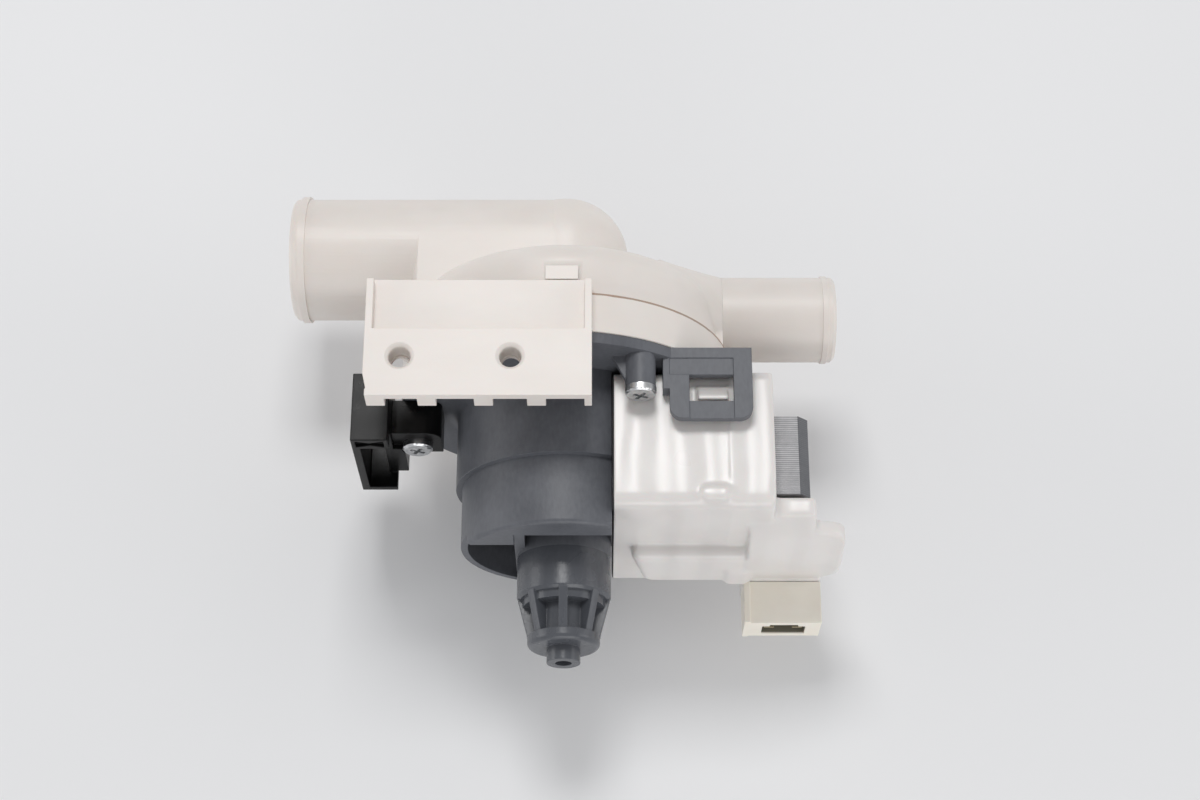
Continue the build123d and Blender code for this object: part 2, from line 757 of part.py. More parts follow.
# Black side clip: an open frame beside the pump, held by the screw through its block
with BuildPart() as side_clip:
    with BuildSketch(front_plane(clip_back)):
        with Locations((-clip_left, clip_top)):
            Rectangle(clip_width, clip_top + clip_bottom, align=(Align.MIN, Align.MAX))
        with Locations((-clip_left + clip_wall, clip_head_low)):
            Rectangle(clip_width - 2 * clip_wall, clip_head_low + clip_bottom - clip_wall,
                      align=(Align.MIN, Align.MAX), mode=Mode.SUBTRACT)
    extrude(amount=clip_front - clip_back)
    # The wall beside the pump stands back behind the frame's front
    with BuildSketch(front_plane(clip_side_front)):
        with Locations((-clip_right - clip_wall, clip_head_low)):
            Rectangle(clip_wall + overrun, clip_head_low + clip_bottom - clip_wall,
                      align=(Align.MIN, Align.MAX))
    extrude(amount=clip_front - clip_side_front + overrun, mode=Mode.SUBTRACT)
    # Block that the screw goes through, from the mount plate to its head
    with BuildSketch(front_plane(plate_front)):
        with Locations((-clip_right - clip_wall, clip_block_top)):
            Rectangle(clip_right + clip_wall - clip_block_right, clip_block_top + clip_block_low,
                      align=(Align.MIN, Align.MAX))
        fillet(vertices().group_by(Axis.X)[-1].sort_by(Axis.Z)[0], radius=clip_block_round)
    extrude(amount=clip_block_front - plate_front)
    with BuildSketch(front_plane(plate_front)):
        with Locations((-clip_right - clip_wall, 0)):
            Rectangle(clip_foot_width, clip_foot_low, align=(Align.MIN, Align.MAX))
    extrude(amount=clip_foot_front - plate_front)
    with BuildSketch(front_plane(plate_front - overrun)):
        with Locations(bolt_spot(clip_angle)):
            Circle(screw_clearance_radius)
    extrude(amount=clip_foot_front - plate_front + 2 * overrun, mode=Mode.SUBTRACT)
    with BuildSketch(front_plane(clip_block_front)):
        with Locations(bolt_spot(clip_angle)):
            Circle(screw_head_radius + body_gap)
    extrude(amount=clip_foot_front - clip_block_front + overrun, mode=Mode.SUBTRACT)
    # Shallow waisted recess in the front of the head
    recess_mid = (clip_top + clip_head_low) / 2
    recess_half = (clip_top - clip_head_low) / 2 - clip_wall / 2
    with BuildSketch(front_plane(clip_front, -(clip_left + clip_right) / 2, recess_mid)):
        with BuildLine():
            Polyline(
                (-2 * recess_half, -recess_half), (0, -recess_half / 3), (2 * recess_half, -recess_half),
                (2 * recess_half, recess_half), (0, recess_half / 3), (-2 * recess_half, recess_half),
                close=True)
        make_face()
    extrude(amount=-clip_wall / 2, mode=Mode.SUBTRACT)
save(side_clip.part, "side_clip")

# Ring seal between mount plate and chamber ring
with BuildPart() as chamber_seal:
    with BuildSketch(level_plane(0)):
        with Locations((seal_radius, -ring_depth - seal_section / 2)):
            Circle(seal_section / 2 - seat_gap / 2)
    revolve(axis=rotor_axis)
save(chamber_seal.part, "chamber_seal")

# Impeller: straight blades on a round plate, and a hub with a stop inside
with BuildPart() as impeller:
    with BuildSketch(level_plane(0)):
        with BuildLine():
            Polyline(
                (shaft_radius + running_gap, shaft_back + running_gap),
                (shaft_radius + running_gap, -hub_cavity_back),
                (hub_cavity_radius, -hub_cavity_back), (hub_cavity_radius, -hub_front),
                (hub_radius, -hub_front), (hub_radius, -impeller_front),
                (impeller_radius, -impeller_front), (impeller_radius, impeller_plate - impeller_front),
                (hub_radius, impeller_plate - impeller_front), (hub_radius, hub_back - hub_edge),
                (hub_radius - hub_edge, hub_back), (0, hub_back), (0, shaft_back + running_gap), close=True)
        make_face()
    revolve(axis=rotor_axis)
    for index in range(blade_count):
        with BuildSketch(radial_plane(index * 360 / blade_count)):
            with BuildLine():
                Polyline(
                    (hub_radius - hub_edge / 2, impeller_plate / 2 - impeller_front),
                    (blade_tip_radius, impeller_plate / 2 - impeller_front),
                    (blade_tip_radius, blade_back - hub_edge), (inlet_bore, blade_back),
                    (hub_radius - hub_edge / 2, hub_back - hub_edge), close=True)
            make_face()
        extrude(amount=blade_thickness / 2, both=True)
    with BuildSketch(front_plane(hub_cavity_back)):
        with BuildLine():
            CenterArc((0, 0), stop_inner_radius, 90 - stop_angle / 2, stop_angle)
            CenterArc((0, 0), hub_radius - hub_cap_thickness, 90 - stop_angle / 2, stop_angle)
            for edge in (90 - stop_angle / 2, 90 + stop_angle / 2):
                Line(polar(stop_inner_radius, edge), polar(hub_radius - hub_cap_thickness, edge))
        make_face()
    extrude(amount=hub_front - hub_cap_thickness - seat_gap - hub_cavity_back)
save(impeller.part, "impeller")

with BuildPart() as hub_cap:
    with BuildSketch(front_plane(hub_front - hub_cap_thickness)):
        Circle(hub_cavity_radius - seat_gap)
        Circle(shaft_radius + running_gap, mode=Mode.SUBTRACT)
    extrude(amount=hub_cap_thickness)
save(hub_cap.part, "hub_cap")

# Driving dog on the shaft, inside the hub; it starts opposite the stop
with BuildPart() as drive_dog:
    with BuildSketch(front_plane(hub_cavity_back + body_gap)):
        Circle(dog_core_radius)
        with BuildLine():
            CenterArc((0, 0), shaft_radius + seat_gap, -90 - dog_angle / 2, dog_angle)
            CenterArc((0, 0), hub_cavity_radius - body_gap, -90 - dog_angle / 2, dog_angle)
            for edge in (-90 - dog_angle / 2, -90 + dog_angle / 2):
                Line(polar(shaft_radius + seat_gap, edge), polar(hub_cavity_radius - body_gap, edge))
        make_face()
        Circle(shaft_radius + seat_gap / 2, mode=Mode.SUBTRACT)
    extrude(amount=hub_front - hub_cap_thickness - hub_cavity_back - 2 * body_gap)
save(drive_dog.part, "drive_dog")

# Rotor: shaft, ring magnet, its sleeve and two thrust washers
with BuildPart() as rotor_shaft:
    with BuildSketch(front_plane(-shaft_back)):
        Circle(shaft_radius)
    extrude(amount=shaft_back + shaft_front)
    chamfer(rotor_shaft.edges().group_by(Axis.Y)[0], length=shaft_radius / 4)
save(rotor_shaft.part, "rotor_shaft")

with BuildPart() as rotor_magnet:
    with BuildSketch(front_plane(magnet_back)):
        Circle(magnet_radius)
        Circle(magnet_bore, mode=Mode.SUBTRACT)
    extrude(amount=magnet_front - magnet_back)
save(rotor_magnet.part, "rotor_magnet")

tail_front = front_bearing_start - washer_thickness - 2 * seat_gap
sleeve_bore = shaft_radius + seat_gap / 2
sleeve_core = magnet_bore - seat_gap
with BuildPart() as magnet_sleeve:
    with BuildSketch(level_plane(0)):
        with BuildLine():
            Polyline(
                (sleeve_bore, sleeve_flange - magnet_back),
                (sleeve_flange_radius, sleeve_flange - magnet_back),
                (sleeve_flange_radius, -magnet_back), (sleeve_core, -magnet_back),
                (sleeve_core, -magnet_front), (sleeve_flange_radius, -magnet_front),
                (sleeve_flange_radius, -magnet_front - sleeve_flange),
                (sleeve_tail_radius, -magnet_front - sleeve_flange), (sleeve_tail_radius, -tail_front),
                (sleeve_bore, -tail_front), close=True)
        make_face()
    revolve(axis=rotor_axis)
save(magnet_sleeve.part, "magnet_sleeve")

with BuildPart() as thrust_washers:
    for back in (back_bearing_end + seat_gap, tail_front + seat_gap):
        with BuildSketch(front_plane(back)):
            Circle(washer_radius)
            Circle(sleeve_bore, mode=Mode.SUBTRACT)
        extrude(amount=washer_thickness)
save(thrust_washers.part, "thrust_washers")

# Bearings and the soft holders that carry them
for name, back, front, seat in (
        ("back", back_bearing_start, back_bearing_end, cup_bore),
        ("front", front_bearing_start, front_bearing_end, core_bore)):
    with BuildPart() as bearing:
        with BuildSketch(front_plane(back)):
            Circle(bearing_radius)
            Circle(shaft_radius + running_gap, mode=Mode.SUBTRACT)
        extrude(amount=front - back)
    save(bearing.part, f"{name}_bearing")
    with BuildPart() as bearing_holder:
        with BuildSketch(front_plane(back)):
            Circle(seat - seat_gap)
            Circle(bearing_radius + seat_gap, mode=Mode.SUBTRACT)
        extrude(amount=front - back)
    save(bearing_holder.part, f"{name}_bearing_holder")

# Lip seal that keeps the water out of the cup
lip_outer = cup_bore - seat_gap
with BuildPart() as shaft_seal:
    with BuildSketch(level_plane(0)):
        with BuildLine():
            Polyline(
                (lip_outer, -lip_seal_back), (lip_outer, -lip_seal_front),
                (lip_outer - lip_seal_wall, -lip_seal_front),
                (lip_outer - lip_seal_wall, -lip_seal_back - lip_seal_wall),
                (2 * shaft_radius, -lip_seal_back - lip_seal_wall),
                (shaft_radius + 2 * running_gap, -lip_seal_front),
                (shaft_radius + running_gap, -lip_seal_front),
                (shaft_radius + running_gap + lip_seal_wall / 2, -lip_seal_back), close=True)
        make_face()
    revolve(axis=rotor_axis)
save(shaft_seal.part, "shaft_seal")

# Laminated core: two legs and the yoke that joins them on the right
core_width = core_left + core_right
with BuildPart() as stator_core:
    with BuildSketch(front_plane(stack_back)):
        with Locations(((core_right - core_left) / 2, 0)):
            Rectangle(core_width, 2 * leg_outer)
        fillet(vertices().group_by(Axis.X)[0], radius=core_corner)
        chamfer(vertices().group_by(Axis.X)[-1], length=yoke_chamfer)
        with Locations((-core_left - overrun, 0)):
            Rectangle(core_width - yoke_width + overrun, 2 * leg_inner, align=(Align.MIN, Align.CENTER),
                      mode=Mode.SUBTRACT)
        Circle(stator_bore, mode=Mode.SUBTRACT)
    extrude(amount=stack_depth)
save(stator_core.part, "stator_core")

# Two coils, each wound on its own bobbin round one leg of the core
bobbin_length = bobbin_right - bobbin_left
for name, side in (("upper", 1), ("lower", -1)):
    with BuildPart() as bobbin:
        with BuildSketch(right_plane(bobbin_left, -stack_mid, side * leg_rise)):
            Rectangle(2 * tube_half_depth, 2 * tube_half_height)
        extrude(amount=bobbin_length)
        for start in (bobbin_left, bobbin_right - bobbin_flange):
            with BuildSketch(right_plane(start, -stack_mid, side * leg_rise)):
                RectangleRounded(2 * (tube_half_depth + winding_depth),
                                 2 * (tube_half_height + winding_thickness),
                                 bobbin_flange)
            extrude(amount=bobbin_flange)
        with BuildSketch(right_plane(bobbin_left - overrun, -stack_mid, side * leg_rise)):
            Rectangle(2 * (tube_half_depth - bobbin_wall), 2 * (tube_half_height - bobbin_wall))
        extrude(amount=bobbin_length + 2 * overrun, mode=Mode.SUBTRACT)
    save(bobbin.part, f"{name}_bobbin")
    with BuildPart() as winding:
        with BuildSketch(right_plane(bobbin_left + bobbin_flange, -stack_mid, side * leg_rise)):
            RectangleRounded(2 * (tube_half_depth + winding_depth - seat_gap),
                             2 * (tube_half_height + winding_thickness - seat_gap), winding_depth)
            Rectangle(2 * tube_half_depth, 2 * tube_half_height, mode=Mode.SUBTRACT)
        extrude(amount=bobbin_length - 2 * bobbin_flange)
    save(winding.part, f"{name}_winding")

# Thermal fuse laid on the upper coil
with BuildPart() as thermal_fuse:
    fuse_left = (bobbin_left + bobbin_right - fuse_length) / 2
    with BuildSketch(right_plane(fuse_left, -stack_mid, coil_half + fuse_radius)):
        Circle(fuse_radius)
    extrude(amount=fuse_length)
save(thermal_fuse.part, "thermal_fuse")

# White housing of the coils, with wire duct, terminal block and connector foot
housing_depth = housing_front - housing_back
housing_mid = (housing_front + housing_back) / 2
with BuildPart() as terminal_block:
    with BuildSketch(right_plane(block_left)):
        with BuildLine():
            ThreePointArc(
                (-block_top_front, block_top), (-block_bulge_front, 0), (-block_low_front, -block_low))
            Polyline(
                (-block_low_front, -block_low), (-block_back, -block_low), (-block_back, block_top),
                (-block_top_front, block_top))
        make_face()
    extrude(amount=block_right - block_left)
    with BuildSketch(front_plane(block_back - overrun)):
        with Locations((wing_left, wing_top)):
            Rectangle(block_right - wing_left + overrun, block_top, align=(Align.MIN, Align.MIN))
    extrude(amount=block_bulge_front - block_back + 2 * overrun, mode=Mode.SUBTRACT)
    with BuildSketch(front_plane(block_back - overrun)):
        with Locations((wing_left, wing_top + overrun)):
            Rectangle(block_right - wing_left + overrun, wing_top + block_low + 2 * overrun,
                      align=(Align.MIN, Align.MAX))
    extrude(amount=wing_back - block_back + overrun, mode=Mode.SUBTRACT)
    with BuildSketch(front_plane(block_back)):
        with BuildLine():
            Polyline(
                (block_left, block_top), (wing_left, block_top), (wing_left, wing_top),
                (block_right, wing_top), (block_right, -block_low / 2), (foot_right, -block_low),
                (block_left, -block_low), close=True)
        make_face()
        fillet(vertices().group_by(Axis.X)[-1], radius=block_round)
    extrude(amount=block_bulge_front - block_back, mode=Mode.INTERSECT)

with BuildPart() as coil_housing:
    with BuildSketch(right_plane(housing_left, -housing_mid)):
        RectangleRounded(housing_depth, 2 * housing_half, housing_edge)
    extrude(amount=housing_right - housing_left)
    with BuildSketch(right_plane(step_reach, -housing_mid)):
        RectangleRounded(housing_depth + 2 * step_height, 2 * (housing_half + step_height), housing_edge)
    extrude(amount=housing_right - step_reach)
    # Wire duct along the front
    with BuildSketch(front_plane(housing_front - housing_wall)):
        with BuildLine():
            Polyline(
                (duct_left, duct_top), (duct_right, duct_top), (duct_right, -duct_low),
                (duct_left + duct_slant, -duct_low), close=True)
        make_face()
        fillet(vertices(), radius=duct_round)
    extrude(amount=housing_wall + duct_height)
    chamfer(coil_housing.faces().sort_by(Axis.Y)[0].edges(), length=duct_height / 3)
    # Terminal block and the foot that carries the connector
    add(terminal_block.part)
    with BuildSketch(front_plane(block_back)):
        with Locations((block_left, -block_low)):
            Rectangle(foot_right - block_left, foot_low - block_low, align=(Align.MIN, Align.MAX))
    extrude(amount=foot_front - block_back)
    with BuildSketch(level_plane(block_top)):
        with Locations((ridge_left, -block_back)):
            Rectangle(ridge_right - ridge_left, block_top_front - block_back, align=(Align.MIN, Align.MAX))
    extrude(amount=ridge_height)
    # Rounded bar and latch tooth on the top face
    with BuildSketch(level_plane(housing_half)):
        with Locations(((bar_left + bar_right) / 2, -(bar_back + bar_front) / 2)):
            RectangleRounded(
                bar_right - bar_left, bar_front - bar_back, (bar_front - bar_back) / 2 - seat_gap)
    extrude(amount=bar_height)
    with BuildSketch(right_plane(tooth_left)):
        with BuildLine():
            Polyline(
                (-tooth_back, housing_half), (-tooth_back, housing_half + seat_gap),
                (-tooth_front + bar_height, housing_half + tooth_height),
                (-tooth_front, housing_half + tooth_height), (-tooth_front, housing_half), close=True)
        make_face()
    extrude(amount=tooth_right - tooth_left)
    # Inside, and the windows for the legs of the core
    with BuildSketch(right_plane(housing_left + housing_wall, -housing_mid)):
        Rectangle(housing_depth - 2 * housing_wall, 2 * (housing_half - housing_wall))
    extrude(amount=housing_right - housing_left - 2 * housing_wall, mode=Mode.SUBTRACT)
    with BuildSketch(right_plane(housing_left - overrun, -stack_mid)):
        for side in (-1, 1):
            with Locations((0, side * leg_rise)):
                Rectangle(stack_depth + 2 * seat_gap, leg_height + 2 * seat_gap)
    extrude(amount=housing_right - housing_left + 2 * overrun, mode=Mode.SUBTRACT)
save(coil_housing.part, "coil_housing")

# Connector shell with its keyed socket, and the two pins inside
connector_mid = (connector_left + connector_right) / 2
socket_rise = -(connector_top + connector_low) / 2
with BuildPart() as connector_shell:
    with BuildSketch(front_plane(foot_front)):
        with Locations((connector_mid, socket_rise)):
            Rectangle(connector_right - connector_left, connector_low - connector_top)
    extrude(amount=connector_front - foot_front)
    with BuildSketch(front_plane(foot_front)):
        with Locations((connector_left, socket_rise)):
            Rectangle(connector_flange, connector_low - connector_top + 2 * flange_proud)
    extrude(amount=connector_front - foot_front)
    with BuildSketch(front_plane(connector_front)):
        with Locations((connector_mid, socket_rise - key_height / 2)):
            Rectangle(connector_right - connector_left - 4 * connector_wall,
                      connector_low - connector_top - 2 * connector_wall - key_height)
        with Locations((connector_mid, -connector_top - connector_wall)):
            Rectangle(key_width, 2 * key_height, align=(Align.CENTER, Align.MAX))
    extrude(amount=-socket_depth, mode=Mode.SUBTRACT)
save(connector_shell.part, "connector_shell")

with BuildPart() as terminal_pins:
    with BuildSketch(front_plane(connector_front - socket_depth)):
        with Locations((connector_mid, socket_rise - key_height / 2)):
            with GridLocations(pin_spacing, 0, 2, 1):
                Rectangle(pin_width, pin_thickness)
    extrude(amount=pin_length)
save(terminal_pins.part, "terminal_pins")
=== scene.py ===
import bpy
import bmesh
import json
import math
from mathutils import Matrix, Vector

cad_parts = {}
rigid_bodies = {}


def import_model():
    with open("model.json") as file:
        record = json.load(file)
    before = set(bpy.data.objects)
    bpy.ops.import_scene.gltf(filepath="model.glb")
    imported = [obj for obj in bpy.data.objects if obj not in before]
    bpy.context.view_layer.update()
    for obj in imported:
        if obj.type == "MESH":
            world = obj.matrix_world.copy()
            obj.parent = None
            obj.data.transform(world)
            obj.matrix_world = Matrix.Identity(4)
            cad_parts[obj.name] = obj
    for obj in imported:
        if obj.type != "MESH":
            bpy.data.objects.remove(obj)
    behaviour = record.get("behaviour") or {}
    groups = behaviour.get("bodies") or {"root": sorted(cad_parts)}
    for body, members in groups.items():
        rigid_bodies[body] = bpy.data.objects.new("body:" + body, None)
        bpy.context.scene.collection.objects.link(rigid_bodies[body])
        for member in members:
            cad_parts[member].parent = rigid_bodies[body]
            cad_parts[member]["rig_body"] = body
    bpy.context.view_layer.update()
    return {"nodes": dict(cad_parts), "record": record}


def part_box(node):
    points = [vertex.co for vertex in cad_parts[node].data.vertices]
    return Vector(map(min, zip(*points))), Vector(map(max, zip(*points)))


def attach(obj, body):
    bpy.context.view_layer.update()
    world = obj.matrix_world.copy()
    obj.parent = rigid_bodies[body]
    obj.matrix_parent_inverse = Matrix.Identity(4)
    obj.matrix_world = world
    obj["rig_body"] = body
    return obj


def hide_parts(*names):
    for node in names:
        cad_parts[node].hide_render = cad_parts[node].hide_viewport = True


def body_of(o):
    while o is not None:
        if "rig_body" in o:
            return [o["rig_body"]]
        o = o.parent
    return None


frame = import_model()
nodes = frame["nodes"]
bpy.ops.object.select_all(action="DESELECT")
print("frame loaded:", len(nodes), "nodes")

mm = 0.001

# Where the pump's own axes lie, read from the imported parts
cupLow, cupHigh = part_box("rotor_shaft")
axisX = (cupLow.x + cupHigh.x) / 2
axisZ = (cupLow.z + cupHigh.z) / 2
ringLow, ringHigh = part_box("bracket_ring")
bracketLip = 3.3 * mm  # how far the bracket's ring reaches past the parting plane
planeY = ringHigh.y - bracketLip


def spot(x, back, rise):
    # Millimetres from the rotor axis and the parting plane to metres in the frame
    return Vector((axisX + x * mm, planeY + back * mm, axisZ + rise * mm))


# Output of a shader node, so that shader maths can be written as expressions
class Wire:
    def __init__(self, tree, socket):
        self.tree = tree
        self.socket = socket

    def calc(self, operation, first, second):
        made = self.tree.nodes.new("ShaderNodeMath")
        made.operation = operation
        for place, value in enumerate((first, second)):
            if isinstance(value, Wire):
                self.tree.links.new(value.socket, made.inputs[place])
            else:
                made.inputs[place].default_value = value
        return Wire(self.tree, made.outputs[0])

    def __add__(self, other):
        return self.calc("ADD", self, other)

    def __radd__(self, other):
        return self.calc("ADD", other, self)

    def __sub__(self, other):
        return self.calc("SUBTRACT", self, other)

    def __rsub__(self, other):
        return self.calc("SUBTRACT", other, self)

    def __mul__(self, other):
        return self.calc("MULTIPLY", self, other)

    def __pow__(self, other):
        return self.calc("POWER", self, other)

    def __gt__(self, other):
        return self.calc("GREATER_THAN", self, other)

    def __lt__(self, other):
        return self.calc("LESS_THAN", self, other)

    def sine(self):
        return self.calc("SINE", self, 0.0)

    def magnitude(self):
        return self.calc("ABSOLUTE", self, 0.0)


# Material whose colours and bumps all come from the object's own coordinates
class Finish:
    def __init__(self, name):
        self.material = bpy.data.materials.new(name)
        self.material.use_nodes = True
        self.tree = self.material.node_tree
        self.shader = self.tree.nodes["Principled BSDF"]
        self.place = self.node("TexCoord", out="Object")

    def node(self, kind, settings=None, inputs=None, out=0):
        made = self.tree.nodes.new("ShaderNode" + kind)
        for key, value in (settings or {}).items():
            if key == "stops":
                while len(made.color_ramp.elements) < len(value):
                    made.color_ramp.elements.new(1)
                for element, (position, colour) in zip(made.color_ramp.elements, value):
                    element.position = position
                    element.color = (*colour, 1)
            else:
                setattr(made, key, value)
        for key, value in (inputs or {}).items():
            self.feed(made.inputs[key], value)
        return Wire(self.tree, made.outputs[out])

    def feed(self, socket, value):
        if isinstance(value, Wire):
            self.tree.links.new(value.socket, socket)
        elif socket.type == "RGBA" and len(value) == 3:
            socket.default_value = (*value, 1)
        else:
            socket.default_value = value

    def set(self, **values):
        for key, value in values.items():
            self.feed(self.shader.inputs[key.replace("_", " ")], value)

    def along(self, part):
        return self.node("SeparateXYZ", inputs={"Vector": self.place}, out=part)

    def stretched(self, scale):
        return self.node("Mapping", inputs={"Vector": self.place, "Scale": scale})

    def noise(self, scale, detail=3.0, vector=None, roughness=0.5):
        inputs = {"Vector": vector or self.place, "Scale": scale, "Detail": detail,
                  "Roughness": roughness}
        return self.node("TexNoise", inputs=inputs)

    def ramp(self, value, stops):
        return self.node("ValToRGB", {"stops": stops}, {"Fac": value})

    def mixed(self, amount, first, second):
        # Sockets 6 and 7 and output 2 are the node's colour ones
        return self.node("Mix", {"data_type": "RGBA"}, {0: amount, 6: first, 7: second}, out=2)

    def near(self, centre, radius):
        away = self.node("VectorMath", {"operation": "DISTANCE"},
                         {0: self.place, 1: tuple(centre)}, out=1)
        return away < radius

    def inside(self, low, high):
        result = 1.0
        for part in range(3):
            along = self.along(part)
            result = (along > low[part]) * (along < high[part]) * result
        return result

    def bump(self, height, strength, distance):
        return self.node("Bump", inputs={"Height": height, "Strength": strength,
                                         "Distance": distance})


def grey(value):
    return (value, value, value)


# Pinkish beige moulding of the chamber: satin, faint flow marks, fine spark-eroded grain
def chamberPlastic():
    look = {"light": (0.83, 0.78, 0.735), "deep": (0.785, 0.725, 0.675), "rough": 0.40,
            # line is the colour of the painted shade along the parting line
            "line": (0.30, 0.19, 0.12), "seamShadeShare": 0.8, "lineWander": 0.7 * mm,
            "lineFront": 0.75 * mm, "lineBack": 0.2 * mm,
            "rimInner": 51.8 * mm, "rimOuter": 53.2 * mm}
    finish = Finish("chamberPlastic")
    flow = finish.noise(22.0, 4.0, finish.stretched((1.0, 2.6, 1.0)), 0.55)
    cloud = finish.noise(70.0, 3.0)
    tone = finish.ramp(flow * 0.65 + cloud * 0.35, [(0.34, look["deep"]), (0.66, look["light"])])
    grain = finish.noise(2600.0, 2.0)
    # Brown line of painted shade where the two mouldings meet, round the rim only, standing in
    # for the shade of the small step there
    across, along, above = finish.along(0) - axisX, finish.along(1), finish.along(2) - axisZ
    radius = (across * across + above * above) ** 0.5
    wander = (finish.noise(160.0, 3.0) - 0.5) * look["lineWander"]
    seamShade = ((along + wander) > planeY - look["lineFront"]) * (along < planeY + look["lineBack"])
    rim = (radius > look["rimInner"]) * (radius < look["rimOuter"])
    tone = finish.mixed(seamShade * rim * look["seamShadeShare"], tone, look["line"])
    finish.set(Base_Color=tone, Roughness=look["rough"] + (cloud - 0.5) * 0.12)
    finish.set(Normal=finish.bump(grain, 0.05, 0.0004))
    finish.set(Subsurface_Weight=0.06, Subsurface_Scale=0.003)
    return finish.material


# Grey glass-filled moulding: slightly mottled, with pale drag marks along the draw
def mountPlastic():
    look = {"light": (0.128, 0.134, 0.150), "deep": (0.098, 0.103, 0.117),
            "drag": (0.19, 0.195, 0.21), "dragShare": 0.15,
            "cup": (0.068, 0.073, 0.084), "cupShare": 0.6, "cupShine": 0.21, "rough": 0.47,
            "cupLow": spot(-16.0, -110.0, -16.0), "cupHigh": spot(16.0, -67.5, 16.0)}
    finish = Finish("mountPlastic")
    cloud = finish.noise(90.0, 4.0)
    fibre = finish.noise(900.0, 2.0, finish.stretched((1.0, 0.45, 1.0)))
    tone = finish.ramp(cloud * 0.6 + fibre * 0.4, [(0.36, look["deep"]), (0.64, look["light"])])
    marks = finish.noise(260.0, 2.0, finish.stretched((1.0, 0.12, 1.0)))
    scuffs = finish.ramp(marks, [(0.68, grey(0.0)), (0.82, grey(1.0))])
    # The rotor cup is darker and smoother, the rest is left as moulded
    cup = finish.inside(look["cupLow"], look["cupHigh"])
    tone = finish.mixed(cup * look["cupShare"], tone, look["cup"])
    finish.set(Base_Color=finish.mixed(scuffs * look["dragShare"], tone, look["drag"]),
               Roughness=look["rough"] - cup * look["cupShine"] + (cloud - 0.5) * 0.2)
    finish.set(Normal=finish.bump(fibre, 0.12, 0.0004))
    return finish.material


# Satin black moulding of the side clip
def clipPlastic():
    look = {"light": grey(0.007), "deep": grey(0.0035)}
    finish = Finish("clipPlastic")
    cloud = finish.noise(160.0, 3.0)
    grain = finish.noise(1800.0, 2.0)
    tone = finish.ramp(cloud, [(0.35, look["deep"]), (0.65, look["light"])])
    finish.set(Base_Color=tone, Roughness=0.3 + (cloud - 0.5) * 0.14, Specular_IOR_Level=0.16)
    finish.set(Normal=finish.bump(grain, 0.06, 0.0004))
    return finish.material


# Glossy white resin of the coil housing, a little wavy over the coils
def housingResin():
    look = {"light": (0.82, 0.79, 0.765), "deep": (0.78, 0.745, 0.72), "wave": 13.0 * mm,
            "waveShare": 0.6, "dimpleShare": 0.1,
            "gapShade": (0.012, 0.012, 0.013), "gapShadeRight": axisX + 15.5 * mm,
            "paintedHole": grey(0.02), "holeSpot": spot(87.0, -62.0, -2.3), "holeRadius": 0.9 * mm}
    finish = Finish("housingResin")
    cloud = finish.noise(45.0, 3.0)
    across = finish.along(0)
    drift = finish.noise(38.0, 2.0, finish.stretched((1.0, 0.55, 1.0)), 0.4)
    turns = across * (2 * math.pi / look["wave"]) + drift * 5.0
    dimples = finish.noise(110.0, 2.0, finish.stretched((1.6, 0.8, 1.0)), 0.5)
    ripple = turns.sine() * look["waveShare"] + dimples * look["dimpleShare"]
    tone = finish.ramp(cloud, [(0.35, look["deep"]), (0.65, look["light"])])
    # Painted shade in the gap between the housing and the grey shroud: the housing left of
    # gapShadeRight is coloured near black
    tone = finish.mixed((across < look["gapShadeRight"]) * 0.95, tone, look["gapShade"])
    # Small hole in the right end of the terminal block, painted on as a near-black disc of
    # painted shade
    paintedHole = finish.near(look["holeSpot"], look["holeRadius"])
    tone = finish.mixed(paintedHole * 0.95, tone, look["paintedHole"])
    finish.set(Base_Color=tone, Roughness=0.23 + cloud * 0.14)
    finish.set(Normal=finish.bump(ripple, 0.5, 0.0012))
    finish.set(Coat_Weight=0.18, Coat_Roughness=0.2)
    finish.set(Subsurface_Weight=0.08, Subsurface_Scale=0.003)
    return finish.material


# Beige plastic of the plug socket
def connectorPlastic():
    look = {"light": (0.95, 0.90, 0.80), "deep": (0.92, 0.865, 0.76),
            # socket is the colour of the painted shade inside the keyed opening
            "socket": (0.16, 0.145, 0.10), "socketShadeShare": 0.9,
            "low": spot(60.8, -79.7, -34.4), "high": spot(79.8, -71.9, -25.8)}
    finish = Finish("connectorPlastic")
    cloud = finish.noise(120.0, 3.0)
    grain = finish.noise(2400.0, 2.0)
    tone = finish.ramp(cloud, [(0.35, look["deep"]), (0.65, look["light"])])
    # The keyed opening is darker inside: painted shade inside the opening
    socket = finish.inside(look["low"], look["high"])
    tone = finish.mixed(socket * look["socketShadeShare"], tone, look["socket"])
    finish.set(Base_Color=tone, Roughness=0.38 + (cloud - 0.5) * 0.12)
    finish.set(Normal=finish.bump(grain, 0.05, 0.0004))
    finish.set(Subsurface_Weight=0.05, Subsurface_Scale=0.002)
    return finish.material


